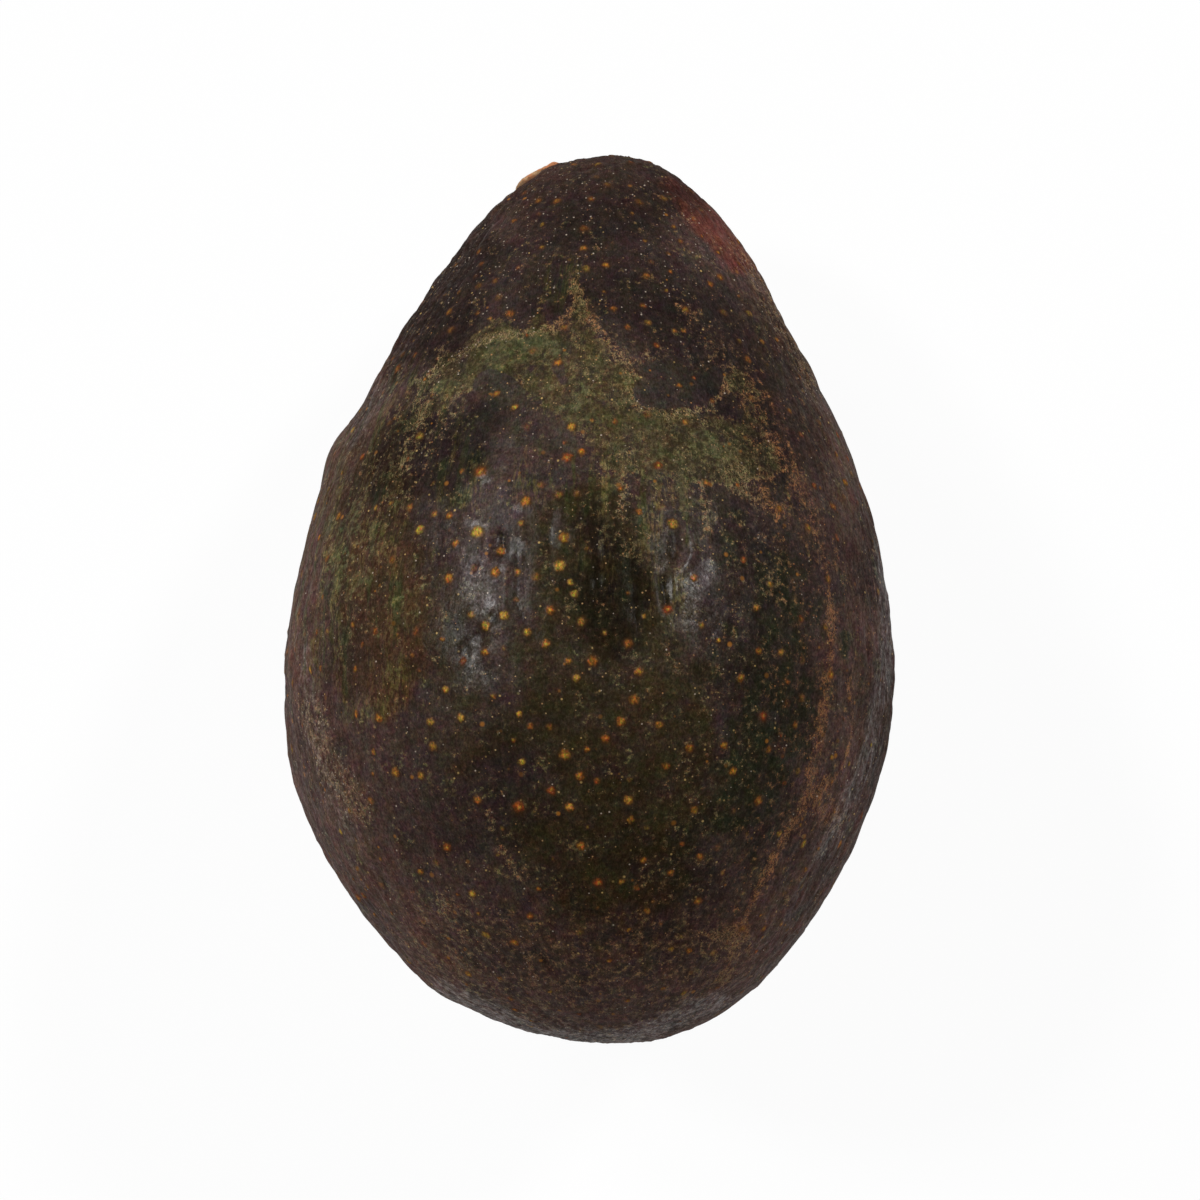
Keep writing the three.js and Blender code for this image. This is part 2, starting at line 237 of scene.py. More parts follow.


# What is painted on the skin, in given strokes. A stroke is its soft edge in mm, its strength and its
# path, and a point of a path is mm to the right, mm towards the stem and mm of half-width, or none. Where
# the strokes don't reach, on the lower side, patches of noise take their place: their size in mm,
# the level that the noise is above, a soft edge and a strength.
skinPaint = {
    "olive": {"wobble": 1.6, "patches": (14, 0.15, 0.35, 0.7), "strokes": (
        (2.4, 1, (-14.5, 24.6, 1.2), (-9, 26.2, 2), (-4, 25.2, 3.2), (-1, 23.5, 3.5), (1.5, 20, 3.5),
         (4.5, 16.5, 3.2), (9, 15.5, 3), (14, 15.8, 2.8), (17.5, 15.5, 1.6)),
        (1.8, 0.85, (-20, 19, 0.3), (-17.5, 22, 0.8), (-14.5, 24.6, 1)),
        (1.2, 0.9, (-1, 27, 1.6), (-0.9, 31, 0.5), (-1.6, 34.5, 0.1)),
        (0.9, 0.8, (-5, 29, 0.6), (-5.4, 32, 0.1)), (1.5, 0.7, (17, 24, 0.6), (18.4, 20, 0.8)),
        (4.2, 0.42, (-19, 19, 0.8), (-21.5, 14, 1.2), (-24.5, 6, 1.4), (-26, -3, 0.8)),
        (3, 0.5, (2.5, 12, 1.5), (4, 8, 1.2), (5.5, 5, 0.3)), (2.5, 0.35, (11, 11.5, 1), (12.5, 7, 0.3)),
        (2, 0.25, (-4, 5, 0.6), (-3, -2, 0.3)),
    )},
    "green": {"wobble": 1.2, "patches": (9, 0.35, 0.3, 1), "strokes": (
        (1.9, 1, (-9.8, 26.2, 0.7), (-7, 27.4, 0.9), (-4.5, 27, 0.5)),
        (2.4, 0.3, (8, 16.5, 1), (11, 16.2, 1.4), (14, 15.8, 0.8)),
        (1.6, 0.6, (-18.2, 22, 0.3), (-16.8, 22.6, 0.3)), (2.2, 0.5, (-1, 22, 0.6), (1, 19, 0.6)),
        (2.6, 0.5, (-26, 9, 0.5), (-27.5, 2, 0.5)),
    )},
    "deepGreen": {"wobble": 2.5, "patches": (11, 0.25, 0.3, 0.8), "strokes": (
        (3.5, 0.6, (-2.5, 5, 1.2), (-1, 0, 1.2), (1.5, -2, 1)), (3, 0.4, (4, 2, 1), (5, -4, 1)),
        (1.8, 1, (28, -5, 0.5), (27.5, -8, 0.5)), (6, 0.7, (21, 0, 2), (20, -12, 3), (17, -24, 2)),
        (4, 0.5, (14, 10, 1), (16, 5, 1)), (3, 0.5, (-9, 16, 1), (-14, 12, 1)),
        (2.4, 0.9, (-10, 23, 1), (-8.8, 20.6, 1)), (3, 0.7, (-26, 7, 1), (-27, 0, 1)),
    )},
    "belly": {"wobble": 4, "patches": (22, 0, 0.5, 0.7), "strokes": (
        (9, 1, (2, 3, 4), (3, -8, 6), (3, -18, 6), (2, -26, 4)), (7, 0.5, (-14, -2, 3), (-14, -14, 3)),
    )},
    # painted shade: where the skin is made darker, on the neck, both flanks, the middle and in patches
    # below
    "paintedShade": {"wobble": 3, "patches": (20, 0, 0.5, 0.4), "strokes": (
        (9, 1, (-7, 48, 3), (0, 46, 4), (7, 47, 3)),
        (6, 0.6, (-8, 37, 4), (6, 34, 3), (14, 28, 3), (20, 27, 3)), (6, 1, (-19, 30, 3), (-14, 38, 3)),
        (6, 0.25, (24, 22, 3), (27, 12, 3), (25, 0, 4), (24, -10, 3)),
        (5, 0.7, (33, 12, 1), (35, -5, 2), (32, -20, 1)),
        (4.5, 0.85, (-20, 15, 3), (-14, 16, 2), (-12, 19, 1)), (4.5, 0.65, (16, 24, 2), (21, 17, 3)),
        (4, 0.75, (1, 8, 1), (3, 0, 2), (2, -5, 1)),
    )},
    "rusty": {"wobble": 3, "patches": (15, 0.15, 0.3, 0.8), "strokes": (
        (6, 1, (-25.5, 15, 1.5), (-23.5, 8, 3), (-22.5, 0, 3), (-23.5, -8, 2)),
        (4, 0.35, (-29, -18, 1), (-26, -27, 1), (-20, -35, 1)), (6, 0.5, (-3, -36, 3), (8, -36, 3)),
    )},
    "red": {"wobble": 0.9, "patches": (16, 0.55, 0.2, 0.8), "strokes": (
        (2, 1, (9.2, 46.3, 0.3), (12.6, 43, 1.1), (15.3, 40.5, 1.1), (17, 37.4, 0.4)),
    )},
    "bare": {"wobble": 1.1, "patches": (6, 0.45, 0.3, 1), "strokes": (
        (1.5, 1, (-10.2, 23, 1.1), (-8.9, 21.8, 1.2), (-8.4, 20.4, 0.6)),
        (1.6, 0.75, (-10.8, 18.6, 0.4), (-8.4, 17.2, 0.8)),
        (1.1, 0.9, (-3.3, 24.8, 0.2), (-2.6, 23.4, 0.2)),
        (2.2, 0.9, (6.6, 22.3, 0.8), (8.6, 22.8, 1.5), (11.2, 22.6, 1)),
        (1.2, 0.9, (13.6, 23.8, 0.6), (13.9, 22.6, 0.1)), (1, 0.8, (20.6, 18.6, 0.2), (21.2, 18, 0.1)),
        (1.8, 0.8, (-3.4, 18, 0.6), (-1.5, 15.5, 0.8)), (1.1, 0.8, (8.2, 12.4, 0.2), (8.4, 11.4, 0.2)),
    )},
    "dust": {"wobble": 0.9, "patches": (9, 0.12, 0.5, 0.5), "strokes": (
        (2.5, 0.12, (-20, 19, 1), (-14.5, 24, 2.2), (-9, 26.5, 1.8), (-4, 25.5, 2.8), (-1, 24, 3.2)),
        (0.7, 0.75, (-18, 24), (-14.5, 26.4), (-10.5, 28.4), (-6, 28.8), (-3.5, 29.5)),
        (0.8, 0.7, (-3.5, 29.5), (-2, 31.5)),
        (2.8, 0.2, (-1, 24, 3.2), (1.5, 20, 3), (4.5, 16.5, 2.8), (9, 15.5, 3), (14, 15.8, 3.2)),
        (3, 0.25, (14, 15.8, 2.6), (19, 15, 1.5)),
        (1, 0.55, (-1.6, 34.5), (-0.5, 31), (2, 28.5, 0.1), (4.5, 25, 0.1), (5, 21)),
        (0.8, 0.8, (4.6, 22.5), (5.6, 20.2), (9, 19.6, 0.1), (13, 20.4, 0.1), (15.5, 23, 0.1)),
        (2.4, 0.29, (11, 31.5), (14, 28, 0.3), (16.5, 24.5, 0.6), (19, 20.5, 0.8), (20.8, 17, 0.8)),
        (1.8, 0.5, (20.8, 17, 0.6), (22.8, 13, 0.4), (24.5, 8, 0.3), (26.2, 3.5, 0.3)),
        (1.6, 0.38, (-16, 27, 0.2), (-18, 21.5, 0.3), (-20.5, 13.5, 0.2)),
        (1.3, 0.32, (-12.5, 23.5, 0.2), (-17, 17, 0.2), (-19.5, 10.5, 0.1)),
        (1.1, 0.45, (5.4, 25.4), (8, 26.6, 0.1), (11, 26.3, 0.1), (13.4, 24.6)),
        (0.9, 0.6, (3.8, 13, 0.1), (3.6, 9, 0.05)), (1, 0.6, (12.5, 12, 0.1), (13, 7, 0.05)),
        (0.6, 0.72, (26.2, 3.5, 0.1), (26.6, -3, 0.1), (25.8, -11, 0.1), (24.8, -17, 0.15),
         (23.6, -22.5, 0.2)), (1.8, 0.6, (16, 13, 0.5), (18.5, 11, 0.6), (21, 9.2, 0.2)),
        (0.7, 0.85, (23.6, -22.5, 0.2), (21, -27.5, 0.15), (18.5, -32, 0.1), (16.8, -36, 0.05)),
        (0.8, 0.95, (16.8, -36, 0.15), (16, -38.5, 0.1), (14.6, -42, 0.05)),
        (0.6, 0.85, (28.4, -9, 0.05), (29, -14, 0.1), (27.5, -19, 0.1), (23.5, -22.5, 0.2)),
        (0.7, 0.9, (17, -35.5, 0.1), (14, -37.2, 0.05), (12, -36.4, 0.05)),
        (0.7, 0.85, (17, -35.5, 0.1), (17.8, -39.5, 0.05)), (2.2, 0.6, (25, -22.5, 0.6), (27, -24.5, 0.6)),
        (0.9, 0.5, (8.2, -5, 0.1), (9.8, -8.5, 0.1)), (0.7, 0.5, (12.4, -12), (13.4, -17)),
        (6, 0.18, (20, 2, 4), (20, -14, 6), (14, -30, 6)),
        (7, 0.36, (-14, -38, 3), (0, -44, 4), (12, -40, 3)),
        (2.2, 0.5, (-30.5, -13, 0.6), (-28, -19, 0.9), (-25, -23.5, 0.5)),
        (0.8, 0.5, (-11, -23), (-9, -27.5)), (0.7, 0.6, (-8.4, -28.6), (-7, -30)),
        (1.6, 0.55, (-15.5, -33, 0.2), (-13.5, -37, 0.2)), (0.8, 0.9, (-7, -39), (-5, -42)),
        (1.2, 0.62, (-13.5, -40, 0.1), (-10.5, -43, 0.1)),
        (1.8, 0.5, (17, 39, 0.3), (20, 34, 0.4), (22.5, 29, 0.4), (25, 24, 0.3)),
    )},
    "dustRed": {"wobble": 2, "patches": (18, 0, 0.4, 1), "strokes": (
        (4, 1, (20, 21, 3), (24, 10, 3), (26.5, 0, 4), (25, -16, 4), (18, -33, 3)),
        (8, 0.6, (0, -36, 6), (10, -42, 6)), (4, 0.6, (15, 26, 1), (18, 22, 1)),
        (8, 0.7, (-12, 36, 6), (10, 38, 6)),
    )},
    "pale": {"wobble": 1.2, "patches": (9, 0.3, 0.3, 0.6), "strokes": (
        (2, 0.7, (17, 39.5, 0.5), (20, 34.5, 0.6), (22.5, 29, 0.6), (25, 24, 0.5), (27, 20, 0.3)),
        (2.6, 0.6, (-30.5, -13, 1), (-28, -19, 1.2), (-25, -23.5, 0.8)),
        (6, 0.45, (-10, 37, 4), (-2, 42, 4), (8, 38, 5)),
        (1.5, 0.5, (-18, 24), (-10.5, 28.4), (-3.5, 29.5)), (1.2, 0.6, (-7, -39, 0.2), (-5, -42, 0.2)),
    )},
    "gloss": {"wobble": 0.5, "patches": (6, 0.25, 0.3, 0.6), "strokes": (
        (0.5, 1, (11.5, 6.4, 0.3), (10.6, 4.5, 0.4)),
        (1.4, 0.75, (9, 2.6, 0.8), (11, 2.2, 1.2), (12.8, 2.6, 0.8)),
        (0.6, 0.9, (8.9, 1.4, 0.2), (9.3, -0.2, 0.3)),
        (2, 0.5, (10.5, 0, 0.8), (12.5, -3, 1.2), (12.6, -6, 1)),
        (0.8, 0.65, (13.4, 9.6, 0.3), (13.2, 7.6, 0.3)), (0.7, 0.5, (18, 7.6, 0.1), (19.4, 5.8, 0.1)),
        (0.6, 1, (-11.2, 12.9, 0.4), (-10.6, 12.4, 0.2)), (0.5, 1, (-7.5, 9.4, 0.3), (-7.2, 9, 0.2)),
        (0.7, 0.9, (-13, 7.8, 0.3), (-11.2, 7.5, 0.3)), (0.4, 1, (-9.8, 6.2, 0.15), (-9.6, 4.8, 0.15)),
        (0.8, 0.9, (-7.8, 5.4, 0.4), (-8.9, 3.3, 0.4)), (1, 0.5, (-14.8, 7.6, 0.4), (-14.4, 5, 0.5)),
        (0.4, 0.8, (-2.2, 8.6, 0.1), (-2.6, 7.2, 0.1)), (0.4, 0.7, (-4, 7.6, 0.1), (-3.8, 6, 0.1)),
        (1.8, 0.42, (-13, 3.2, 1), (-11.5, 0.5, 1.2), (-10.4, -2, 0.8)),
        (0.4, 1, (-8.3, 3.8, 0.1), (-7.7, 1, 0.15), (-7.4, -2.2, 0.15)),
        (0.7, 1, (-11, -0.2, 0.3), (-10.4, -0.9, 0.4)), (2, 0.45, (-12.5, -5, 1), (-12, -8, 0.6)),
        (1.5, 0.4, (-31, -6, 0.4), (-30, -16, 0.5), (-26, -26, 0.5)),
        (1.6, 0.5, (33, 6, 0.5), (33.5, -6, 0.6), (31, -17, 0.6), (26, -28, 0.6)),
        (2.2, 0.26, (-26, 17, 0.5), (-21.5, 26, 0.8), (-15.5, 36, 0.8), (-12, 41, 0.4)),
        (1.8, 0.55, (-16, -43, 0.5), (-6, -48.5, 0.6), (4, -49, 0.6), (14, -44.5, 0.5)),
    )},
    "strand": {"wobble": 2, "patches": (20, -0.1, 0.5, 0.7), "strokes": (
        (5, 1, (-24, 16, 3), (-26, 8, 4), (-26.5, 0, 4), (-25.5, -8, 3)),
        (4, 0.8, (-20, 25, 1), (-17, 18, 2), (-14, 12, 1.5)),
        (4.5, 0.9, (-4, 13, 1.5), (3, 11, 2), (10, 9, 1.5)), (4.5, 0.6, (1, 5, 1.5), (8, 0, 1.5)),
        (2.5, 0.8, (-2, 32, 0.5), (-2.5, 36, 0.5)), (4, 0.4, (21, 32, 1), (25, 22, 1.5), (29, 10, 1)),
    )},
}


def paintMask(paint, seed):
    # at every point the strongest of the strokes, with a wavy outline, or on the lower side the
    # patches of noise
    wave = paint["wobble"] * layeredNoise(smoothSkin / 5, seed, 3)
    total = np.zeros(len(fromAbove))
    for soft, strength, *path in paint["strokes"]:
        total = np.maximum(total, strength * (1 - eased(gapTo(path, fromAbove) + wave, 0, soft)))
    size, level, soft, strength = paint["patches"]
    patches = strength * eased(layeredNoise(smoothSkin / size, seed + 50, 3), level, level + soft)
    return upperSide * total + (1 - upperSide) * patches


masks = {name: paintMask(paint, 11 + 3 * number) for number, (name, paint) in enumerate(skinPaint.items())}
print("skin painted:", ", ".join(masks))

# The largest spots on the upper side: mm to the right, mm towards the stem, radius in mm,
# hue from 0, yellow, to 1, red, and brightness.
spotsAbove = (
    (-18.5, 17.5, 0.42, 0.0, 0.9), (-12, 7, 0.62, 0.12, 1.0), (-3, 3, 0.55, 0.1, 0.8),
    (-1.8, 1.6, 0.3, 0.05, 0.6), (-1.5, 0, 0.34, 0.05, 0.7), (-9, -2, 0.44, 0.1, 0.9),
    (-6.5, -4, 0.36, 0.15, 1.0), (-1, -8.5, 0.34, 0.2, 0.9), (9, 8, 0.46, 0.2, 1.0),
    (-1.5, 18, 0.42, 0.3, 1.0), (-0.5, 15.5, 0.36, 0.5, 0.9), (-2, 15, 0.5, 0.85, 0.8),
    (-13.5, 13.5, 0.26, 0.35, 0.6), (-11.5, 13.5, 0.6, 0.75, 0.8), (-6.5, 10, 0.5, 0.4, 0.9),
    (-18, 7, 0.46, 0.0, 0.7), (-2.5, 6.5, 0.5, 0.4, 0.8), (-9.5, 5, 0.4, 0.4, 0.9),
    (-15, 2, 0.46, 0.4, 0.8), (-10, 2.5, 0.46, 0.4, 0.9), (-4, -1.5, 0.42, 0.5, 0.8),
    (-0.5, -2.5, 0.4, 0.3, 1.0), (-11, -3, 0.44, 0.2, 0.9), (2, -4, 0.26, 0.1, 0.6),
    (-4.5, -5, 0.38, 0.3, 0.9), (4.2, -5, 0.4, 0.6, 0.9), (0.6, -7, 0.48, 0.55, 1.0),
    (-11, -6, 0.36, 0.4, 0.7), (-13.5, -7, 0.36, 1.0, 0.6), (-15, -10, 0.34, 0.2, 0.6),
    (-10, -10.5, 0.28, 0.3, 0.5), (5, -11, 0.46, 0.45, 0.5), (-7.2, -12.5, 0.3, 0.3, 0.7),
    (-13.5, -13, 0.36, 0.1, 0.9), (-6, -14, 0.3, 0.5, 0.4), (3.5, -13.5, 0.46, 0.55, 0.6),
    (7.5, -14, 0.36, 0.4, 0.6), (2, -15.5, 0.4, 0.8, 0.8), (0, -16.5, 0.26, 0.6, 0.6),
    (-2.5, -17, 0.5, 0.35, 0.6), (-7, -18, 0.34, 0.1, 0.7), (8.5, -18, 0.34, 0.5, 0.5),
    (-1, -19, 0.42, 0.5, 0.8), (15.5, -19, 0.4, 0.4, 0.7), (-12, -22, 0.4, 0.4, 0.6),
    (-7.5, -22.5, 0.54, 0.85, 0.8), (-2, -22.5, 0.42, 0.25, 0.8), (4.5, -22, 0.42, 0.3, 0.9),
    (18.5, -22, 0.46, 0.5, 0.5), (11.5, -23, 0.38, 0.35, 0.5), (4.5, -24, 0.34, 0.3, 0.5),
    (-0.5, -27, 0.4, 0.4, 0.8), (6, -28.5, 0.3, 0.5, 0.5), (12, -28, 0.38, 0.4, 0.5),
    (1, -31, 0.46, 0.9, 0.6), (3.5, -30.5, 0.3, 0.4, 0.7), (12, -33, 0.4, 0.5, 0.5),
    (-0.5, 38.5, 0.34, 0.3, 0.8), (2, 36.5, 0.34, 0.5, 0.9), (13.5, 34.5, 0.34, 0.6, 0.8),
    (11.5, 2, 0.38, 0.4, 0.6), (16.5, -9, 0.4, 0.4, 0.5), (14, -5, 0.24, 0.3, 0.8),
    (8.5, -1.5, 0.44, 1.0, 0.9), (7.5, 27.5, 0.3, 0.9, 0.7), (-5, 38.5, 0.26, 0.3, 0.5),
    (-5.5, 44, 0.34, 0.7, 0.6), (5, 42.5, 0.22, 0.4, 0.5), (9.5, 41, 0.24, 0.7, 0.6),
    (3, 31.5, 0.3, 0.6, 0.8), (-23, -4, 0.36, 0.9, 0.6), (-25, -13, 0.4, 0.5, 0.6),
    (-22.5, -13, 0.42, 0.5, 0.8), (-25.5, -8, 0.34, 0.5, 0.5), (-20.5, -19, 0.46, 0.4, 0.6),
    (-18, -30, 0.34, 0.35, 0.6), (-27, -26, 0.34, 0.2, 0.6), (-12.5, -32, 0.36, 0.2, 0.7),
    (6.4, 39, 0.24, 0.5, 0.6), (9, 37.6, 0.2, 0.6, 0.6), (9, 35.8, 0.22, 0.6, 0.7),
    (6.5, 35.2, 0.34, 0.5, 0.7), (6.3, 32, 0.3, 0.8, 0.7), (6.6, 30.2, 0.32, 0.3, 0.6),
    (10.7, 31.5, 0.34, 0.4, 0.6), (9.6, 29.2, 0.26, 0.4, 0.8), (10.8, 29.2, 0.24, 0.35, 0.8),
)
spotScatter = {
    "count": 1200,  # spots tried all over the fruit
    "apart": 1.9,  # mm between two spots
    "radius": (0.18, 0.45),
    "hue": (0.15, 0.95),
    "glow": (0.12, 0.7),
    "upperOver": 30,  # mm above the table, for the named ones
    "seed": 5,
}


def spotCentres(above, scatter):
    # the named spots, then seeded points of the grid that lie far enough from all before them.
    # Returns their centres, and radius, hue and brightness for each
    hearts, kinds = [], []
    upper = np.flatnonzero(skinPlace[:, 2] > scatter["upperOver"])
    for x, y, size, hue, glow in above:
        heart = upper[np.argmin(np.linalg.norm(fromAbove[upper] - (x, y), axis=1))]
        hearts.append(smoothSkin[heart])
        kinds.append((size, hue, glow))
    random = np.random.default_rng(scatter["seed"])
    for heart in random.choice(len(smoothSkin), scatter["count"], replace=False):
        kind = [random.uniform(*scatter[name]) for name in ("radius", "hue", "glow")]
        if np.min(np.linalg.norm(np.array(hearts) - smoothSkin[heart], axis=1)) > scatter["apart"]:
            hearts.append(smoothSkin[heart])
            kinds.append(kind)
    return np.array(hearts), np.array(kinds)


def nearestSpot(points, hearts):
    # the number of the nearest spot for every point, a few thousand points at a time
    partCount = 40
    best = [
        np.argmin(np.linalg.norm(part[:, None] - hearts[None], axis=2), axis=1)
        for part in np.array_split(points, partCount)
    ]
    return np.concatenate(best)


spotHearts, spotKinds = spotCentres(spotsAbove, spotScatter)
ownSpot = nearestSpot(smoothSkin, spotHearts)
spotReach = np.linalg.norm(smoothSkin - spotHearts[ownSpot], axis=1) / spotKinds[ownSpot, 0]
quadSpot = nearestSpot(smoothSkin[skinQuads].mean(axis=1), spotHearts)
spotOffset = smoothSkin[skinQuads] - spotHearts[quadSpot][:, None]
print("spots:", len(spotHearts))

skinRelief = {
    "rollSize": 9.0,  # mm, the broad unevenness
    "rollHeight": 0.5,
    "pebbleSize": (2.2, 4.2, 2.2),  # mm round, along and round the fruit
    "pebbleWarp": 0.3,  # pebble sizes that they are pushed about by
    "warpSize": (2.5, 6, 2.5),
    "patchSize": 9,  # mm, where pebbles are higher or lower
    "pebbleHeight": 0.14,  # on the crown
    "flankHeight": 0.31,  # and on the flanks
    "crownFacing": (0.45, 0.9),  # how far the skin faces up, from flank to crown
    "pebbleLevel": 0.6,  # the height on a dome that stays level with the bare skin
    "patchy": (0.6, 0.4),  # the usual share of a pebble's height, and its swing
    "bareSmooth": 0.6,  # the share of it that goes in the bare ovals
    "lumpSize": 2.4,
    "lumpHeight": 0.16,
    "ridgeSize": (2.8, 10.0, 2.8),  # furrows along the fruit
    "ridgeHeight": 0.09,
    "creases": (  # half-width, height and path, in mm
        (0.5, -0.28, (-9.6, -2.2), (-11.8, -4.2), (-13.4, -6)), (0.7, 0.16, (-8.6, -1.6), (-10.8, -3.6)),
        (0.7, -0.16, (-11.9, -4.4), (-11.7, -7.2), (-10.9, -9)), (0.4, -0.25, (-9.3, 6.6), (-9.1, 4.4)),
        (0.6, 0.14, (-10.9, 7), (-10.7, 4.6)), (0.8, -0.2, (-7.4, 4), (-7.6, -1), (-6.4, -4)),
        (0.6, 0.14, (-8.6, 3), (-8.6, -0.5)), (0.6, -0.18, (-4, 8.6), (-4.2, 5)),
        (0.5, 0.14, (-2.4, 9), (-2.6, 5.6)), (0.5, -0.25, (1.8, 6), (1.9, 4.6)),
        (0.5, -0.2, (1, 2.6), (1.1, 1)), (0.45, -0.4, (8.2, 1.6), (8.5, -1.2)),
        (0.5, 0.2, (9.2, 2.2), (9.5, 0)), (0.5, -0.25, (9.4, 7.4), (9.6, 5.5), (9.4, 4.2)),
        (0.6, 0.2, (10.6, 7.6), (11.2, 4.6), (10, 2.6)), (0.5, 0.12, (13.2, 9), (13, 6)),
        (0.8, -0.14, (5, 4), (5.5, -3)), (0.6, 0.2, (-10.6, 17.4), (-8, 16.6)),
    ),
    "waver": 0.35,  # mm that the creases waver by
    "waverSize": 1.6,
    "breakSize": 1.8,  # mm, how they come and go
    "creaseDepth": 1.8,  # what the creases' heights are multiplied by
    "flats": (  # broad ones: the same
        (3.5, -0.35, (-27.5, 21.5), (-22, 31), (-16.5, 38)), (2.6, 0.4, (-29.5, 18.2), (-29.3, 16.5)),
    ),
    "dustHeight": 0.03,
    "spotHeight": 0.09,
    "spotSpread": 1.7,  # how far a spot lifts the skin, in its own radii
    "socketRadius": 3.75,  # mm, where the skin meets the stem
    "socketDepth": 2.4,
    "socketSoft": (-0.5, 0.35),  # mm from the edge, between which the skin goes down
    "socketLobes": ((2, 0.6, 0.04), (5, 0, 0.03)),  # waves round it, turn and share of the radius
    "collarHeight": 0.08,
    "collarPlace": (1.1, 0.8, 9),  # mm from the edge, mm wide and folds round it
}


def stemFrame(shape):
    # the stem's point on the skin, its outward direction and two directions across it
    heart = np.array([
        math.sin(shape["stemLean"]) * math.cos(shape["stemTurn"]),
        math.cos(shape["stemLean"]),
        math.sin(shape["stemLean"]) * math.sin(shape["stemTurn"]),
    ])
    step = 0.01
    across = np.cross([0, 0, 1], heart)
    across /= np.linalg.norm(across)
    along = np.cross(heart, across)
    around = heart + step * np.stack([0 * across, across, -across, along, -along])
    around /= np.linalg.norm(around, axis=1, keepdims=True)
    skin = laidDown(bareSkin(around, shape)[0], shape) - middle
    axis = np.cross(skin[1] - skin[2], skin[3] - skin[4])
    axis /= np.linalg.norm(axis)
    side = np.cross(axis, [0, 0, 1])
    side /= np.linalg.norm(side)
    return skin[0], axis, side, np.cross(axis, side)


stemPoint, stemAxis, stemSide, stemUp = stemFrame(fruitShape)


def skinHeights(relief):
    # mm that each point stands above the bare skin: domed pebbles, 1 - (gap / second gap)^2, lower
    # on the crown, plus rolling bumps, small lumps, ridges along the fruit, broken and wavering
    # creases exp(-(gap / width)^2), russet and spots exp(-(gap / radius / spread)^2)
    warp = np.stack([softNoise(flow / relief["warpSize"], seed) for seed in (31, 32, 33)], axis=1)
    nearest, second = cellGaps(flow / relief["pebbleSize"] + relief["pebbleWarp"] * warp, 34)
    domes = 1 - (nearest / second) ** 2
    middling, swing = relief["patchy"]
    patchy = middling + swing * softNoise(smoothSkin / relief["patchSize"], 35)
    facing = eased(outward[:, 2], *relief["crownFacing"])
    pebbles = relief["flankHeight"] + (relief["pebbleHeight"] - relief["flankHeight"]) * facing
    rise = pebbles * (domes - relief["pebbleLevel"]) * patchy * (1 - relief["bareSmooth"] * masks["bare"])
    rise += relief["rollHeight"] * layeredNoise(smoothSkin / relief["rollSize"], 36, 3)
    rise += relief["lumpHeight"] * layeredNoise(smoothSkin / relief["lumpSize"], 39, 2) * patchy
    rise += relief["ridgeHeight"] * layeredNoise(flow / relief["ridgeSize"], 37, 2)
    waver = relief["waver"] * layeredNoise(smoothSkin / relief["waverSize"], 40, 2)
    broken = upperSide * (0.7 + 0.6 * softNoise(smoothSkin / relief["breakSize"], 43))
    crease = np.zeros(len(rise))
    for width, height, *path in relief["creases"]:
        fold = height * broken * np.exp(-((gapTo(path, fromAbove) + waver) / width) ** 2)
        rise += relief["creaseDepth"] * fold
        # how deep each crease is: the material paints shade in it
        crease = np.maximum(crease, -fold / 0.25)
    for width, height, *path in relief["flats"]:
        rise += height * np.exp(-(gapTo(path, fromAbove) / width) ** 2)
    rise += relief["dustHeight"] * masks["dust"]
    rise += relief["spotHeight"] * np.exp(-(spotReach / relief["spotSpread"]) ** 2)
    return rise, crease


def lobed(turn, lobes):
    # what a radius is multiplied by round a turn: 1 + share sin(count turn + start) for each lobe
    return 1 + sum(share * np.sin(count * turn + start) for count, start, share in lobes)


def skinPoints(relief):
    # bare skin plus its heights, laid down, sunk round the stem, fitted to the fruit's box and
    # flattened where it rests
    heights, crease = skinHeights(relief)
    raised = laidDown(smoothSkin + heights[:, None] * outward, fruitShape) - middle
    toStem = raised - stemPoint
    lift = toStem @ stemAxis
    ring = np.linalg.norm(toStem - lift[:, None] * stemAxis, axis=1)
    nearStem = lift > -6
    turn = np.arctan2(toStem @ stemUp, toStem @ stemSide)
    edge = relief["socketRadius"] * lobed(turn, relief["socketLobes"])
    inner, outer = relief["socketSoft"]
    sunk = relief["socketDepth"] * (1 - eased(ring, edge + inner, edge + outer))
    away, width, count = relief["collarPlace"]
    folds = 0.6 + 0.4 * np.sin(count * turn + 1.5 * np.sin(2 * turn))
    collar = relief["collarHeight"] * folds * np.exp(-((ring - edge - away) / width) ** 2)
    raised += np.where(nearStem, collar - sunk, 0)[:, None] * stemAxis
    low, high = [np.array(corner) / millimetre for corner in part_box("fruit")]
    now = raised.min(axis=0), raised.max(axis=0)
    raised[:, :2] = low[:2] + (raised[:, :2] - now[0][:2]) * ((high - low) / (now[1] - now[0]))[:2]
    raised[:, 2] *= high[2] / now[1][2]
    raised[:, 2] = np.maximum(raised[:, 2], low[2])
    return raised, heights, crease


crown = eased(outward[:, 2], 0.35, 0.85)  # 1 where the skin faces up, 0 on the flanks and below
placedSkin, skinHeight, skinCrease = skinPoints(skinRelief)
print("relief worked out, from", round(skinHeight.min(), 2), "to", round(skinHeight.max(), 2), "mm")


def makeMesh(name, points, faces, layout=None):
    # puts points in mm and faces into a smooth mesh at the origin, with an optional flat layout
    data = bpy.data.meshes.new(name)
    data.from_pydata((points * millimetre).tolist(), [], faces)
    data.shade_smooth()
    if layout is not None:
        data.uv_layers.new(name="OFBake").uv.foreach_set("vector", layout.reshape(-1).astype(np.float32))
    piece = bpy.data.objects.new(name, data)
    bpy.context.scene.collection.objects.link(piece)
    return piece


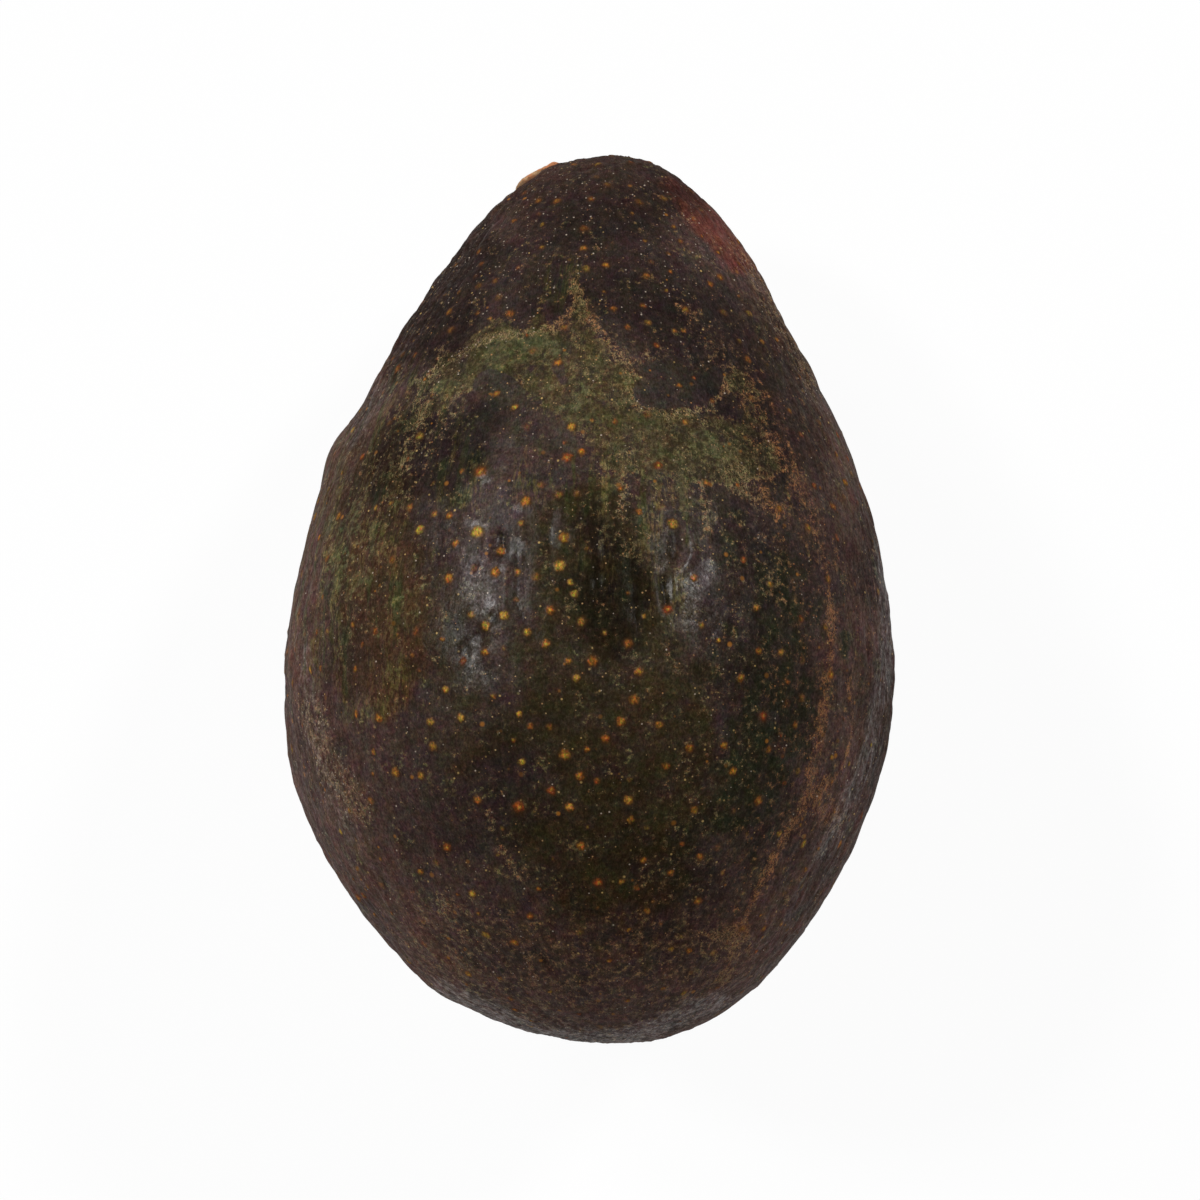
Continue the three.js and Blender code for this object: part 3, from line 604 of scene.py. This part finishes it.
def giveNumbers(piece, name, values, where="POINT"):
    # one number or one vector for each point, face or face corner, for the material to read
    kind, key = ("FLOAT_VECTOR", "vector") if values.shape[-1] == 3 else ("FLOAT", "value")
    layer = piece.data.attributes.new(name, kind, where)
    layer.data.foreach_set(key, values.reshape(-1).astype(np.float32))


skinPiece = makeMesh("avocado_skin", placedSkin, skinQuads.tolist(), skinCharts)
skinNumbers = {**masks, "flow": flow, "skinHeight": skinHeight, "crease": skinCrease, "crown": crown}
for name, values in skinNumbers.items():
    giveNumbers(skinPiece, name, values)
giveNumbers(skinPiece, "spotOffset", spotOffset, "CORNER")
giveNumbers(skinPiece, "spotKind", spotKinds[quadSpot], "FACE")
# how far each point is from the stem's axis: the material paints shade in a ring round the stem
stemRing = np.linalg.norm(np.cross(placedSkin - stemPoint, stemAxis), axis=1)
giveNumbers(skinPiece, "stemRing", np.where(placedSkin[:, 1] > 20, stemRing, 99))


class Nodes:
    # a short way to add shader nodes to a material or a world and join them. Wherever a value
    # goes in, the name of one of the settings stands for it
    def __init__(self, owner, look):
        self.owner = owner
        self.look = look
        owner.use_nodes = True
        self.tree = owner.node_tree
        self.shader = self.tree.nodes.get("Principled BSDF")

    def put(self, value, socket):
        if isinstance(value, str):
            value = self.look[value]
        if isinstance(value, bpy.types.NodeSocket):
            self.tree.links.new(value, socket)
        elif isinstance(value, tuple) and socket.type == "RGBA":
            socket.default_value = (*value[:3], 1)
        else:
            socket.default_value = value

    def add(self, kind, inputs, **settings):
        # a new node's outputs, once it has its settings and its inputs, named or counted from 0
        made = self.tree.nodes.new("ShaderNode" + kind)
        for name, value in settings.items():
            setattr(made, name, value)
        for name, value in inputs.items():
            self.put(value, made.inputs[name])
        return made.outputs

    def math(self, action, *values):
        return self.add("Math", dict(enumerate(values)), operation=action)[0]

    def times(self, *values):
        total = values[0]
        for value in values[1:]:
            total = self.math("MULTIPLY", total, value)
        return total

    def plus(self, *values):
        total = values[0]
        for value in values[1:]:
            total = self.math("ADD", total, value)
        return total

    def most(self, first, second):
        return self.math("MAXIMUM", first, second)

    def swing(self, value, amount):
        # a noise value made to swing about 0
        return self.times(self.math("SUBTRACT", value, 0.5), amount)

    def between(self, *values):
        # for a value, low, high, start and end: start below low, end above high, smooth between.
        # Start is 0 and end is 1 where they aren't given
        return self.add("MapRange", dict(enumerate(values)), interpolation_type="SMOOTHSTEP")[0]

    def fade(self, value, start, end):
        # start where a value is 0, end where it is 1
        return self.between(value, 0, 1, start, end)

    def mixed(self, amount, first, second, way="MIX"):
        inputs = {"Factor": amount, 6: first, 7: second}  # 6 and 7 are its colours
        return self.add("Mix", inputs, data_type="RGBA", blend_type=way)[2]

    def paint(self, amount, colour, way="MIX"):
        # lays a colour over what is painted so far
        self.painted = self.mixed(amount, self.painted, colour, way)

    def read(self, name, output="Fac"):
        return self.add("Attribute", {}, attribute_name=name)[output]

    def scaled(self, vector, scale):
        return self.add("Mapping", {"Vector": vector, "Scale": scale})[0]

    def placed(self):
        # Object coordinates in mm
        return self.scaled(self.add("TexCoord", {})["Object"], (1 / millimetre,) * 3)

    def noise(self, vector, scale, detail=2, roughness=0.5, output="Fac"):
        inputs = {"Vector": vector, "Scale": scale, "Detail": detail, "Roughness": roughness}
        return self.add("TexNoise", inputs)[output]

    def lines(self, value, width):
        # 1 along the line where a noise value is one half, and 0 past width to either side
        return self.between(self.math("ABSOLUTE", self.math("SUBTRACT", value, 0.5)), 0, width, 1, 0)

    def fibres(self, vector, scale, levels, width):
        # thin winding lines, where a smooth noise value times the levels is a whole number
        value = self.times(self.noise(vector, scale, 1, 0.5), levels)
        return self.between(self.math("PINGPONG", value, 0.5), 0, width, 1, 0)

    def dots(self, vector, scale, radius, share):
        # round dots of about a radius in cells, in a share of the cells, some fainter and smaller
        cells = self.add("TexVoronoi", {"Vector": vector, "Scale": scale})
        pick, bright, wide = self.parts(cells["Color"])
        reach = self.math("DIVIDE", cells["Distance"], self.fade(wide, 0.5, 1.3))
        picked = self.math("LESS_THAN", pick, share)
        shown = self.between(reach, 0.4 * radius, radius, 1, 0)
        return self.times(shown, picked, self.fade(bright, 0.3, 1))

    def vector(self, action, *values):
        made = self.add("VectorMath", dict(enumerate(values)), operation=action)
        return made["Value" if action == "LENGTH" else "Vector"]

    def shifted(self, vector, push, amount):
        # a vector moved by a noise colour, centred on none
        centred = self.vector("SUBTRACT", push, (0.5,) * 3)
        return self.vector("MULTIPLY_ADD", centred, (amount,) * 3, vector)

    def tinted(self, colour, amount):
        # a noise colour made into a tint that swings about plain white
        return self.vector("MULTIPLY_ADD", colour, (amount,) * 3, (1 - 0.5 * amount,) * 3)

    def parts(self, vector):
        return list(self.add("SeparateXYZ", {0: vector}))

    def bump(self, height, distance, onto=None):
        inputs = {"Strength": 1, "Distance": distance * millimetre, "Height": height}
        if onto is not None:
            inputs["Normal"] = onto
        return self.add("Bump", inputs)[0]


skinLook = {
    "purple": (0.052, 0.033, 0.0275),
    # on the flanks: a redder purple, lighter than on the crown, partly painted sheen
    "purpleFlankSheen": (0.101, 0.0505, 0.037),
    "purpleDark": (0.0225, 0.0145, 0.012),
    "brown": (0.0385, 0.0268, 0.0125),
    "deepGreen": (0.019, 0.02, 0.0085),
    "olive": (0.048, 0.037, 0.0155),
    "bareTint": (0.046, 0.034, 0.0265),
    "green": (0.062, 0.06, 0.0255),
    "rusty": (0.052, 0.024, 0.0092),
    "red": (0.115, 0.032, 0.022),
    "webTan": (0.3, 0.215, 0.105),
    "webRed": (0.34, 0.15, 0.058),
    "webOlive": (0.185, 0.148, 0.062),
    "dustTan": (0.43, 0.29, 0.14),
    "dustRed": (0.39, 0.16, 0.06),
    # pale dust, and painted glints as tiny pale specks
    "paleDustAndGlint": (0.5, 0.41, 0.33),
    "strandTan": (0.125, 0.09, 0.03),
    "strandGreen": (0.044, 0.046, 0.014),
    "spotYellow": (0.5, 0.31, 0.05),
    "spotOrange": (0.4, 0.14, 0.02),
    "freckle": (0.27, 0.105, 0.018),
    "spotRed": (0.27, 0.046, 0.012),
    "speck": (0.45, 0.3, 0.11),
    "speckPush": (1, 0.2, 0.7),  # keeps the specks off the crumbs
    "paintedShadeLevel": 0.43,  # what the colour is multiplied by where shade is painted
    "roughness": 0.36,  # on the crown
    "flankRoughness": 0.52,
    "wax": 0.16,  # all the gloss is in a thin coat of wax
    "leastWax": 0.1,  # and less of it where shade is painted
    "waxRoughness": 0.33,
    "poreDepth": 0.034,  # mm
    "grainDepth": 0.03,
    "markDepth": 0.07,
    "frostDepth": 0.012,
}

skinNoises = {  # scale per mm, layers and roughness
    "cloud": (0.11, 2, 0.5),
    "patch": (0.36, 3, 0.6),
    "grit": (1.5, 4, 0.65),
    "grain": (3.6, 2, 0.6),
    "dust": (5.5, 3, 0.7),
    "tint": (0.5, 3, 0.6),
    "fineTint": (2.6, 2, 0.6),
    "strand": (0.75, 3, 0.6),  # along the fruit, as is the thread
    "thread": (2.2, 3, 0.6),
    "clump": (0.75, 3, 0.6),
    "spotEdge": (1.7, 3, 0.6),
}


def skinMaterial(look, noises):
    # layers from the ground up: ground tints, olive band, strands, russet web and dust, specks, spots
    n = Nodes(bpy.data.materials.new("avocado_skin"), look)
    place = n.placed()
    around = n.read("flow", "Vector")
    along = n.scaled(around, (1, 0.14, 1))
    cloud = n.noise(place, *noises["cloud"])
    patch = n.noise(place, *noises["patch"])
    grit = n.noise(place, *noises["grit"])
    grain = n.noise(n.scaled(around, (1, 0.6, 1)), *noises["grain"])
    dustColour = n.noise(n.scaled(around, (1, 0.55, 1)), *noises["dust"], "Color")
    dustField = n.parts(dustColour)[0]
    tints = n.tinted(n.noise(place, *noises["tint"], "Color"), 0.85)
    fineTints = n.tinted(n.noise(place, *noises["fineTint"], "Color"), 0.6)
    strand = n.noise(along, *noises["strand"])
    thread = n.noise(along, *noises["thread"])

    # ground: purple-brown, lighter and redder on the flanks than on the crown, partly painted sheen,
    # browner on the belly, darker in cloudy patches, reddish on one side
    crown, paintedShade, pale = n.read("crown"), n.read("paintedShade"), n.read("pale")
    browner = n.between(n.plus(n.read("belly"), n.swing(cloud, 1.4)), 0.2, 0.75)
    n.painted = n.mixed(crown, "purpleFlankSheen", "purple")
    n.paint(browner, "brown")
    n.paint(n.between(patch, 0.42, 0.6, 0, 0.6), "purpleDark")
    greenish = n.between(n.plus(n.read("deepGreen"), n.swing(patch, 1.6)), 0.3, 0.85, 0, 0.8)
    n.paint(greenish, "deepGreen")
    rusty = n.between(n.plus(n.read("rusty"), n.swing(strand, 2)), 0.25, 0.95, 0, 0.72)
    n.paint(rusty, "rusty")

    # olive band with greener hearts, thinning out at the dark bare ovals
    bare = n.between(n.plus(n.read("bare"), n.swing(patch, 0.5), n.swing(grit, 0.7)), 0.36, 0.66, 1, 0)
    n.paint(n.fade(bare, 0.75, 0), "bareTint")
    ragged = n.plus(n.swing(patch, 2.2), n.swing(grit, 2))
    olive = n.times(n.between(n.plus(n.read("olive"), ragged), 0.25, 0.9), bare)
    n.paint(n.times(olive, n.between(strand, 0.36, 0.58, 0.55, 1)), "olive")
    greener = n.times(n.between(n.plus(n.read("green"), ragged), 0.25, 0.85, 0, 0.85), bare)
    n.paint(greener, "green")

    # red cheek on the neck
    redden = n.between(n.plus(n.read("red"), n.swing(strand, 0.9), n.swing(grit, 0.8)), 0.25, 1)
    n.paint(redden, "red")

    # strands along the fruit: broad green ones where they are painted, fine tan ones all over
    strands = n.read("strand")
    broad = n.times(n.between(strand, 0.53, 0.62), n.between(strands, 0.1, 0.9))
    n.paint(n.times(broad, 0.6), "strandGreen")
    fine = n.times(n.lines(thread, 0.07), n.between(n.noise(along, 0.6, 2), 0.46, 0.6))
    fine = n.times(fine, n.between(grit, 0.36, 0.5, 0.3, 1), n.between(strands, 0, 0.8, 0.12, 1))
    n.paint(n.times(fine, 0.65), "strandTan")

    # painted shade: valleys darker than tops, darker creases and a dark crease round the stem; a fine
    # mottle; and darker where shade is painted
    mottleAndShade = n.times(
        n.between(n.read("skinHeight"), -0.4, 0.25, 0.65, 1.2),
        n.between(grit, 0.36, 0.64, 0.8, 1.2),
        n.between(patch, 0.4, 0.62, 0.8, 1.15),
        n.between(grain, 0.36, 0.64, 0.85, 1.15),
        n.between(thread, 0.36, 0.64, 0.92, 1.08),
        n.between(n.plus(n.read("crease"), n.swing(grit, 0.9)), 0.5, 1.05, 1, 0.35),
        n.between(dustField, 0.38, 0.62, 0.78, 1.22),
        n.between(n.read("stemRing"), 3.2, 5.2, 0.35, 1),
        n.fade(paintedShade, 1, "paintedShadeLevel"),
    )
    for shade in (mottleAndShade, tints, fineTints):
        n.paint(1, shade, "MULTIPLY")

    # russet: curly fibres, crumbs and fine specks, dense where painted, along the band's ragged edge
    # and in clumps
    clump = n.noise(place, *noises["clump"])
    rim = n.times(olive, n.math("SUBTRACT", 1, olive), 0.9)
    dense = n.plus(n.read("dust"), n.times(olive, 0.2), rim, n.swing(clump, 1.2))
    dense = n.times(dense, bare)
    broken = n.plus(n.times(dense, 1.3), n.swing(grit, 2.4), -0.15)
    redder = n.most(n.read("dustRed"), n.between(n.parts(fineTints)[0], 0.98, 1.1))
    russet = n.mixed(redder, "webTan", "webRed")
    russet = n.mixed(n.between(olive, 0.45, 1, 0, 0.85), russet, "webOlive")
    russet = n.mixed(1, russet, fineTints, "MULTIPLY")
    fading = n.between(grain, 0.36, 0.6, 0.25, 1)
    long = n.fibres(n.scaled(around, (1, 0.35, 1)), 1.1, 4, 0.095)
    threads = n.plus(n.times(dense, 1.2), n.swing(grit, 1.2), -0.1)
    n.paint(n.times(long, fading, n.between(threads, 0.15, 0.9)), russet)
    curly = n.fibres(place, 1.7, 2, 0.085)
    n.paint(n.times(curly, n.between(broken, 0.3, 1.1)), russet)
    tiny = n.lines(n.noise(place, 4.2, 1, 0.5), 0.06)
    n.paint(n.times(tiny, n.between(broken, 0, 1.2, 0, 0.7)), russet)
    dust = n.between(n.math("SUBTRACT", dustField, n.fade(dense, 0.74, 0.59)), 0, 0.03)
    dustTint = n.mixed(redder, "dustTan", "dustRed")
    dustTint = n.mixed(n.between(pale, 0.2, 0.8, 0, 0.8), dustTint, "paleDustAndGlint")
    n.paint(n.times(dust, n.between(grit, 0.38, 0.6, 0.2, 0.9)), dustTint)
    share = n.between(dense, -0.2, 1, 0.03, 0.6)
    n.paint(n.dots(place, 2.8, 0.26, share), dustTint)

    # tiny pale specks, part dust and part painted glints, and small orange ones all over
    n.paint(n.dots(n.shifted(place, "speckPush", 9), 0.9, 0.13, 0.5), "speck")
    palePick = n.between(pale, 0, 0.8, 0.05, 0.6)
    n.paint(n.dots(place, 2.3, 0.23, palePick), "paleDustAndGlint")
    frecklePick = n.between(paintedShade, 0, 0.8, 0.5, 0.2)
    freckles = n.dots(n.shifted(place, "speckPush", 3), 0.5, 0.16, frecklePick)
    n.paint(freckles, "freckle")

    # spots: a yellow core in an orange or red heart, and a rusty ring round it
    offset = n.shifted(n.read("spotOffset", "Vector"), n.noise(place, *noises["spotEdge"], "Color"), 0.65)
    size, hue, glow = n.parts(n.read("spotKind", "Vector"))
    glow = n.between(glow, 0, 0.85, 0.15, 1)
    reach = n.math("DIVIDE", n.vector("LENGTH", offset), size)
    ring = n.times(n.between(reach, 0.8, 2.2, 0.8, 0), glow)
    n.paint(ring, "rusty")
    spotTint = n.mixed(n.between(hue, 0, 0.5), "spotYellow", "spotOrange")
    spotTint = n.mixed(n.between(hue, 0.5, 1), spotTint, "spotRed")
    spotTint = n.mixed(n.between(reach, 0, 0.6, 0.8, 0), spotTint, "spotYellow")
    spotTint = n.mixed(1, spotTint, n.tinted(dustColour, 3), "MULTIPLY")
    # spots are fainter where shade is painted
    heart = n.times(n.between(reach, 0.3, 1.45, 1, 0), glow, n.fade(paintedShade, 1.05, 0.5))
    n.paint(n.times(heart, n.between(grain, 0.38, 0.58, 0.35, 1)), spotTint)

    # relief finer than the mesh: pores, grain, frosty wax, raised dust and spots
    normal = n.bump(grit, look["poreDepth"])
    normal = n.bump(grain, look["grainDepth"], normal)
    normal = n.bump(dustField, look["frostDepth"], normal)
    crumbs = n.times(n.read("dust"), n.between(dustField, 0.5, 0.6, 0, 0.3))
    normal = n.bump(n.most(crumbs, heart), look["markDepth"], normal)

    roughness = n.fade(crown, "flankRoughness", "roughness")
    roughness = n.plus(roughness, n.swing(patch, 0.5), n.times(n.most(dust, heart), 0.2))
    n.put(n.painted, n.shader.inputs["Base Color"])
    n.put(roughness, n.shader.inputs["Roughness"])
    n.put(normal, n.shader.inputs["Normal"])
    n.shader.inputs["Specular IOR Level"].default_value = 0
    dull, bright = n.fade(crown, 0.75, 0.95), n.fade(crown, 1.5, 1.05)
    wax = n.times(
        n.fade(paintedShade, "wax", "leastWax"),
        n.between(strand, 0.34, 0.66, 0.75, 1.2),
        n.between(n.plus(n.read("gloss"), n.swing(grit, 1.25)), 0.15, 1, 0.82, 3.3),
        n.between(grit, 0.34, 0.66, 0.75, 1.25),
        n.between(dustField, 0.36, 0.64, 0.6, 1.5),
        n.between(thread, 0.34, 0.66, dull, bright),
        n.fade(n.most(dust, heart), 1, 0.4),
    )
    n.put(wax, n.shader.inputs["Coat Weight"])
    n.shader.inputs["Coat Roughness"].default_value = look["waxRoughness"]
    n.put(normal, n.shader.inputs["Coat Normal"])
    return n.owner


skinPiece.data.materials.append(skinMaterial(skinLook, skinNoises))
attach(skinPiece, "root")
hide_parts("fruit")
print("skin made")

stemShape = {
    "around": 180,
    "along": 72,
    "profile": (  # radius and height above the skin in mm, from root to scar
        (0, -2.4), (1.6, -2.25), (2.5, -1.5), (2.95, -0.6), (3.5, -0.05), (3.75, 0.35),
        (3.6, 0.7), (3.1, 0.7), (2.5, 0.35), (1.8, 0.2), (1.2, 0.35), (0.6, 0.5), (0, 0.45),
    ),
    "rimRadius": 3.75,
    "nub": (5.35, 0.35, 0.22),  # turn about the stem, mm high and radians wide
    "lobes": ((2, 0.6, 0.045), (5, 0, 0.03)),
    "tornSize": 0.9,  # mm
    "torn": (0.02, 0.12),  # how much it roughens the radius, and the height in mm
    "rimWave": 0.12,  # mm
    "fibreHeight": 0.1,
}


def stemPoints(shape):
    # a profile turned about the stem's axis: radius (1 + lobes), height + wave (radius / rim)^2,
    # roughened by noise at the rim and dished in the middle
    knots = np.array(shape["profile"], float)
    walked = np.concatenate([[0], np.cumsum(np.linalg.norm(np.diff(knots, axis=0), axis=1))])
    steps = np.linspace(0, walked[-1], shape["along"] + 1)
    radius = np.interp(steps, walked, knots[:, 0])
    height = np.interp(steps, walked, knots[:, 1])
    soften = np.array([1, 2, 1]) / 4
    for _ in range(2):
        radius[1:-1] = np.convolve(radius, soften, "valid")
        height[1:-1] = np.convolve(height, soften, "valid")
    turn = np.arange(shape["around"]) / shape["around"] * math.tau
    r, a = np.meshgrid(radius[1:-1], turn, indexing="ij")
    h = np.broadcast_to(height[1:-1, None], r.shape)
    out = r / shape["rimRadius"]
    place = np.stack([r * np.cos(a), h, r * np.sin(a)], -1).reshape(-1, 3)
    torn = layeredNoise(place / shape["tornSize"], 41, 3).reshape(r.shape)
    fibrePlace = np.stack([np.cos(a) * 7, np.sin(a) * 7, out * 1.5], -1).reshape(-1, 3)
    fibres = softNoise(fibrePlace, 42).reshape(r.shape)
    turnGap = np.angle(np.exp(1j * (a - shape["nub"][0])))
    nub = shape["nub"][1] * np.exp(-(turnGap / shape["nub"][2]) ** 2) * eased(out, 0.7, 0.9)
    tornOut, tornUp = shape["torn"]
    wave = shape["rimWave"] * np.sin(3 * a + 1) + shape["fibreHeight"] * fibres
    r = r * (lobed(a, shape["lobes"]) + tornOut * torn)
    h = h + out ** 2 * wave + tornUp * torn * (h > -0.3) + nub
    ring = r[..., None] * (np.cos(a)[..., None] * stemSide + np.sin(a)[..., None] * stemUp)
    points = (stemPoint + ring + h[..., None] * stemAxis).reshape(-1, 3)
    ends = stemPoint + np.outer([height[0], height[-1]], stemAxis)
    points = np.concatenate([points, ends])
    rows, columns = r.shape
    number = np.arange(rows * columns).reshape(rows, columns)
    beside = np.roll(number, -1, axis=1)
    quads = np.stack([number[:-1], beside[:-1], beside[1:], number[1:]], -1).reshape(-1, 4)
    root, tip = rows * columns, rows * columns + 1
    lowCap = np.stack([np.full(columns, root), beside[0], number[0]], -1)
    highCap = np.stack([np.full(columns, tip), number[-1], beside[-1]], -1)
    faces = quads.tolist() + lowCap.tolist() + highCap.tolist()
    values = {
        "stemOut": np.concatenate([(r / shape["rimRadius"]).ravel(), [0, 0]]),
        "stemHeight": np.concatenate([h.ravel(), [height[0], height[-1]]]),
    }
    return points, faces, values


stemLook = {
    "cork": (0.33, 0.175, 0.075),
    "corkPale": (0.56, 0.36, 0.19),
    # dark cork, also used for the painted shade low on the stem
    "corkDark": (0.1, 0.045, 0.02),
    "orange": (0.5, 0.17, 0.06),
}


def stemMaterial(look):
    # dry cork: pale and orange streaks on the rim, a brown dished scar inside it, and painted shade low
    # down where it sinks into its socket
    n = Nodes(bpy.data.materials.new("dried_stem"), look)
    place = n.placed()
    grain = n.noise(place, 2.2, 4, 0.65)
    blot = n.noise(place, 0.7, 3, 0.55)
    n.painted = n.mixed(n.between(grain, 0.35, 0.68), "cork", "corkPale")
    n.paint(n.between(blot, 0.44, 0.6, 0, 0.8), "orange")
    n.paint(n.between(n.noise(place, 1.6, 3, 0.6), 0.55, 0.66, 0, 0.85), "corkDark")
    inside = n.between(n.read("stemOut"), 0.45, 0.78, 0.75, 0)
    n.paint(inside, "corkDark")
    # painted shade: darker low down, where the stem sits in its socket
    socketShade = n.between(n.read("stemHeight"), 0, 0.5, 0.85, 0)
    n.paint(socketShade, "corkDark")
    normal = n.bump(n.noise(place, 1.4, 5, 0.7), 0.2)
    n.put(n.painted, n.shader.inputs["Base Color"])
    n.put(normal, n.shader.inputs["Normal"])
    n.shader.inputs["Roughness"].default_value = 0.8
    return n.owner


def makeStem(shape, look):
    points, faces, values = stemPoints(shape)
    piece = makeMesh("avocado_stem", points, faces)
    for name, numbers in values.items():
        giveNumbers(piece, name, numbers)
    piece.data.materials.append(stemMaterial(look))
    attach(piece, "root")
    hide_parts("stem_button")


makeStem(stemShape, stemLook)
print("stem made")

studio = {
    "floorSize": 12.0,  # m
    "floorDrop": 0.00002,  # m below the resting spot
    "floorBounce": 0.8,  # the share of light that the floor throws back
    "floorShown": 0.06,  # how much of its shading the floor shows
    "floorGlow": 0.946,  # plain white added to what it shows
    "lamps": (  # where the light comes from, and its strength
        ((-0.58, 0.62, 0.56), 0.9),
        ((-0.6, 0.31, 0.74), 1.35),
        ((0.53, 0.52, 0.67), 1.4),
    ),
    "lampAngle": math.radians(9),
    "skyLow": 1.0,  # white round the horizon
    "skyHigh": 0.03,  # and nearly dark overhead
    "skyFade": (0.04, 0.26),  # between these heights of the direction
}


def makeFloor(look):
    # a white board, a little self-lit to the eye so that it shows white with a faint shadow
    half = look["floorSize"] / 2
    level = -look["floorDrop"]
    data = bpy.data.meshes.new("white_board")
    corners = [(-half, -half, level), (half, -half, level), (half, half, level), (-half, half, level)]
    data.from_pydata(corners, [], [(0, 1, 2, 3)])
    board = bpy.data.objects.new("white_board", data)
    bpy.context.scene.collection.objects.link(board)
    n = Nodes(bpy.data.materials.new("white_board"), look)
    n.tree.nodes.remove(n.shader)
    rays = n.add("LightPath", {})
    seen = n.most(n.most(rays["Is Camera Ray"], rays["Is Glossy Ray"]), rays["Is Transmission Ray"])
    plain = n.add("BsdfDiffuse", {"Color": (look["floorBounce"],) * 3})[0]
    shown = n.add("BsdfDiffuse", {"Color": (look["floorShown"],) * 3})[0]
    glow = n.add("Emission", {"Strength": "floorGlow"})[0]
    both = n.add("AddShader", {0: shown, 1: glow})[0]
    pick = n.add("MixShader", {0: seen, 1: plain, 2: both})[0]
    n.put(pick, n.tree.nodes["Material Output"].inputs["Surface"])
    data.materials.append(n.owner)


def makeLamps(look):
    # broad soft lamps, two to the left and one to the right, all a little towards the stem end
    for towards, strength in look["lamps"]:
        data = bpy.data.lights.new("soft_lamp", "SUN")
        data.energy = strength
        data.angle = look["lampAngle"]
        lamp = bpy.data.objects.new("soft_lamp", data)
        across = math.hypot(towards[0], towards[1])
        lamp.rotation_euler = (0, math.atan2(across, towards[2]), math.atan2(towards[1], towards[0]))
        bpy.context.scene.collection.objects.link(lamp)


def makeSky(look):
    # white round the horizon and dim overhead, by the height of the direction
    n = Nodes(bpy.data.worlds.new("studio"), look)
    height = n.parts(n.add("TexCoord", {})["Generated"])[2]
    light = n.tree.nodes["Background"].inputs
    n.put(n.between(height, *look["skyFade"], "skyLow", "skyHigh"), light["Strength"])
    n.put((1, 1, 1), light["Color"])
    bpy.context.scene.world = n.owner


makeFloor(studio)
makeLamps(studio)
makeSky(studio)
bpy.context.scene.view_settings.view_transform = "Standard"
print("studio made")
